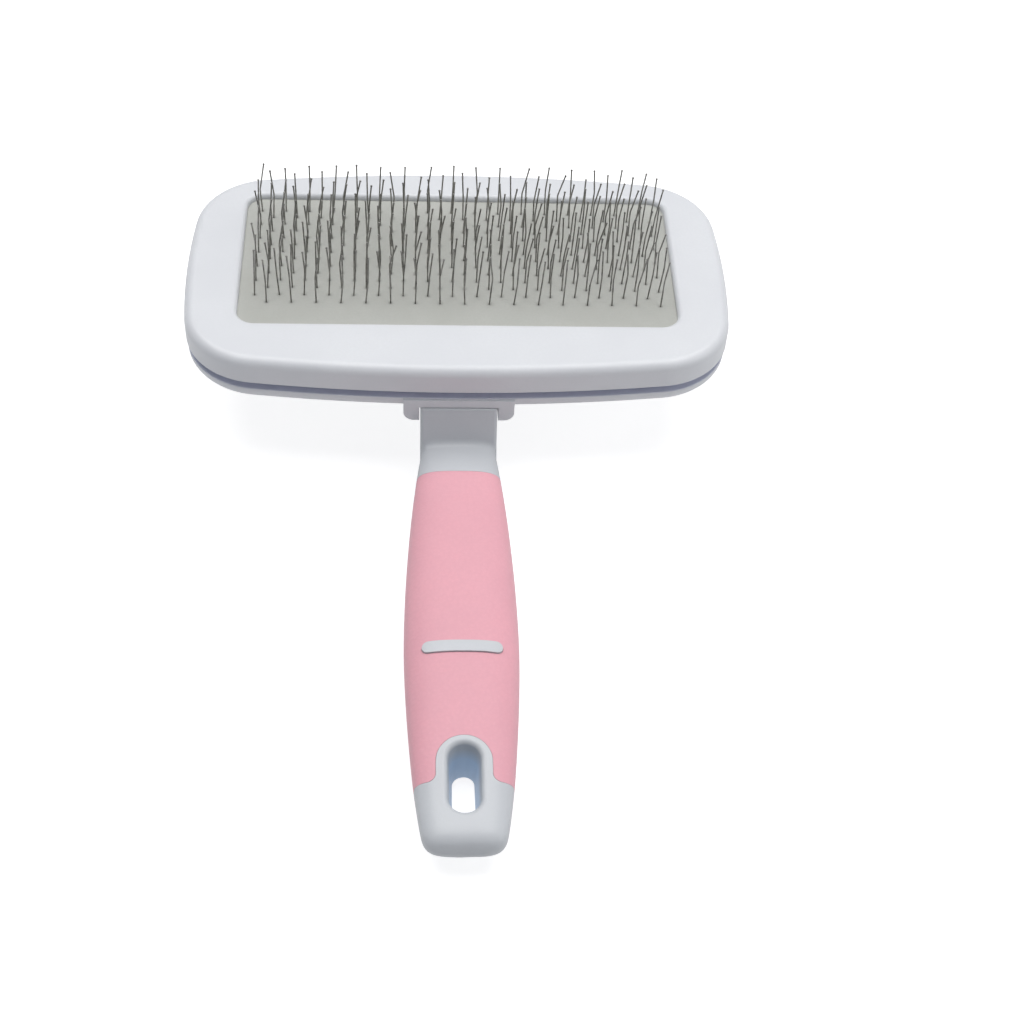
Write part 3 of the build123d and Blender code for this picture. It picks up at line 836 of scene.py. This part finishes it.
class BRUSH_OT_studio(bpy.types.Operator):
    """Make the pale floor, the soft lights, the white surroundings and the camera"""

    bl_idname = "brush.studio"
    bl_label = "Studio"

    def execute(self, context):
        settings = context.scene.brush_studio
        self.floor(tuple(context.scene.brush_colours.floor), settings.floor_glow, settings.floor_white)
        self.surroundings(context.scene, settings.ambient)
        self.light("overhead_softbox", OVERHEAD_PLACE, OVERHEAD_SIZE, settings.overhead)
        for side, name, share in ((-1, "left_softbox", settings.side_share), (1, "right_softbox", 1)):
            place = Vector((side * SIDE_REACH, SIDE_Y, SIDE_HEIGHT))
            self.light(name, place, SIDE_SIZE, settings.side * share)
        self.camera(context.scene, settings)
        return {"FINISHED"}

    def floor(self, colour, glow, extra):
        """A plain sheet under the brush, brighter to the camera by extra than the light that it gives."""
        bm = bmesh.new()
        bmesh.ops.create_grid(
            bm, x_segments=FLOOR_DIVISIONS, y_segments=FLOOR_DIVISIONS, size=FLOOR_HALF_SIZE
        )
        lowest = CAD_BOX[0][2]
        bmesh.ops.translate(bm, verts=bm.verts, vec=(0, 0, lowest - FLOOR_GAP))
        piece = finished_piece("studio_floor", bm)
        finish = Finish("pale_paper", colour, 0.95, Specular_IOR_Level=0.1)
        finish.shader.inputs["Emission Color"].default_value = WHITE
        seen = finish.node("ShaderNodeLightPath").outputs["Is Camera Ray"]
        finish.feed(finish.shader.inputs["Emission Strength"], finish.spread(seen, 0, 1, glow, glow + extra))
        finish.relief((finish.clouds(900, detail=2), 0.01 * MM))
        piece.data.materials.append(finish.material)

    def surroundings(self, scene, ambient):
        """White to the camera, and a weaker, slightly blue light on the brush."""
        world = bpy.data.worlds.new("white_surroundings")
        world.use_nodes = True
        tree = world.node_tree
        tree.nodes.clear()
        seen = tree.nodes.new("ShaderNodeBackground")
        seen.inputs["Color"].default_value = WHITE
        felt = tree.nodes.new("ShaderNodeBackground")
        felt.inputs["Color"].default_value = SKY_COLOUR
        felt.inputs["Strength"].default_value = ambient
        path = tree.nodes.new("ShaderNodeLightPath")
        either = tree.nodes.new("ShaderNodeMixShader")
        out = tree.nodes.new("ShaderNodeOutputWorld")
        tree.links.new(path.outputs["Is Camera Ray"], either.inputs["Fac"])
        tree.links.new(felt.outputs["Background"], either.inputs[1])
        tree.links.new(seen.outputs["Background"], either.inputs[2])
        tree.links.new(either.outputs["Shader"], out.inputs["Surface"])
        scene.world = world

    def light(self, name, place, size, power):
        lamp = bpy.data.lights.new(name, "AREA")
        lamp.shape = "RECTANGLE"
        lamp.size, lamp.size_y = size
        lamp.energy = power
        lamp.color = LAMP_COLOUR
        holder = bpy.data.objects.new(name, lamp)
        turn = (STUDIO_TARGET - place).to_track_quat("-Z", "Y")
        holder.matrix_world = Matrix.Translation(place) @ turn.to_matrix().to_4x4()
        bpy.context.scene.collection.objects.link(holder)

    def camera(self, scene, settings):
        lens = bpy.data.cameras.new("studio_camera")
        lens.lens = settings.lens
        lens.sensor_width = SENSOR_WIDTH
        lens.clip_start, lens.clip_end = CLIP
        holder = bpy.data.objects.new("studio_camera", lens)
        turn, rise, roll = settings.turn, settings.elevation, settings.roll
        back = Vector((math.sin(turn) * math.cos(rise), -math.cos(turn) * math.cos(rise), math.sin(rise)))
        level = Vector((math.cos(turn), math.sin(turn), 0))
        plumb = back.cross(level)
        right = level * math.cos(roll) + plumb * math.sin(roll)
        up = plumb * math.cos(roll) - level * math.sin(roll)
        place = Vector(settings.aim) + back * settings.distance
        holder.matrix_world = Matrix.Translation(place) @ Matrix((right, up, back)).transposed().to_4x4()
        scene.collection.objects.link(holder)
        scene.camera = holder
        scene.view_settings.view_transform = "Standard"
        scene.view_settings.look = "None"


MAKERS = (
    BRUSH_OT_head,
    BRUSH_OT_handle,
    BRUSH_OT_grip,
    BRUSH_OT_wires,
    BRUSH_OT_fastenings,
    BRUSH_OT_rubber_face,
    BRUSH_OT_cotton_ply,
    BRUSH_OT_foam_cushion,
    BRUSH_OT_studio,
)


class BRUSH_PT_sidebar(bpy.types.Panel):
    """Lists the steps and settings of the slicker brush"""

    bl_idname = "BRUSH_PT_sidebar"
    bl_label = "Slicker Brush"
    bl_space_type = "VIEW_3D"
    bl_region_type = "UI"
    bl_category = "Slicker Brush"

    def draw(self, context):
        layout = self.layout
        for maker in MAKERS:
            layout.operator(maker.bl_idname)
        for group in (context.scene.brush_colours, context.scene.brush_cushion, context.scene.brush_studio):
            box = layout.box()
            for name in group.__annotations__:
                box.prop(group, name)


SETTING_GROUPS = (
    (BrushColours, "brush_colours"),
    (CushionSizes, "brush_cushion"),
    (StudioSettings, "brush_studio"),
)


def register():
    for group, name in SETTING_GROUPS:
        bpy.utils.register_class(group)
        setattr(bpy.types.Scene, name, PointerProperty(type=group))
    for maker in MAKERS:
        bpy.utils.register_class(maker)
    bpy.utils.register_class(BRUSH_PT_sidebar)


def unregister():
    bpy.utils.unregister_class(BRUSH_PT_sidebar)
    for maker in reversed(MAKERS):
        bpy.utils.unregister_class(maker)
    for group, name in reversed(SETTING_GROUPS):
        delattr(bpy.types.Scene, name)
        bpy.utils.unregister_class(group)


def main():
    register()
    bpy.ops.brush.head()
    bpy.ops.brush.handle()
    bpy.ops.brush.grip()
    bpy.ops.brush.wires()
    bpy.ops.brush.fastenings()
    bpy.ops.brush.rubber_face()
    bpy.ops.brush.cotton_ply()
    bpy.ops.brush.foam_cushion()
    bpy.ops.brush.studio()
    bpy.context.view_layer.update()


if __name__ == "__main__":
    main()
